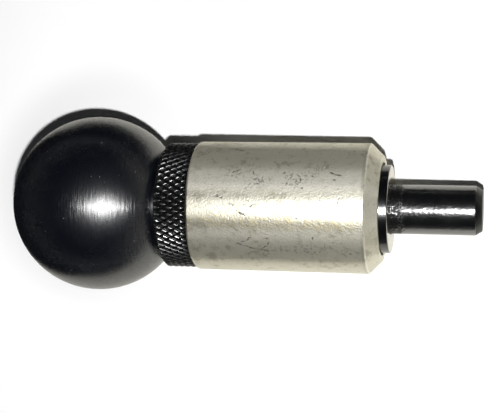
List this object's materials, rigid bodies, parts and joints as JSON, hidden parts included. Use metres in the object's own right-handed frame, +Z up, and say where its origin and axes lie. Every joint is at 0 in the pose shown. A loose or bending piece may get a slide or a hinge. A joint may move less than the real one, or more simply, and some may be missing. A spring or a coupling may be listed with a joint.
{
  "type": "indexing plunger",
  "caption": "Weld-mount indexing plunger: a plain steel sleeve, a knurled barrel, a spring-loaded locking pin and a round black ball knob that pulls it back.",
  "frame": {"origin": "on the plunger's axis, in the plane of the weld sleeve's front face, which butts against the machine", "axes": "+X along the plunger's axis towards the tip of the locking pin, +Z up; the plunger lies level"},
  "size_m": [0.094, 0.035, 0.035],
  "materials": {
    "sleeve_steel": "bare cold-drawn steel, fine length-wise scratches, a little oil",
    "barrel_black_oxide": "black oxide, oiled, diamond knurl on the head",
    "bush_steel": "turned",
    "pin_black_oxide": "ground, black oxide, glossy",
    "spring_steel": "music wire",
    "insert_brass": "turned",
    "knob_phenolic": "polished black phenolic"
  },
  "bodies": {
    "housing": {"weld_sleeve": "sleeve_steel", "barrel": "barrel_black_oxide", "end_bush": "bush_steel"},
    "spring": {"spring": "spring_steel"},
    "plunger": {"plunger_pin": "pin_black_oxide", "knob_insert": "insert_brass", "ball_knob": "knob_phenolic"}
  },
  "joints": [
    {"name": "spin", "type": "hinge", "parent": "housing", "child": "spring", "pos_m": [0, 0, 0], "axis": [1, 0, 0], "continuous": true},
    {"name": "pull", "type": "slide", "parent": "spring", "child": "plunger", "axis": [-1, 0, 0], "range_m": [0, 0.01745], "stiffness_N_per_m": 2870, "springref_m": -0.006, "deforming": ["spring"]}
  ]
}
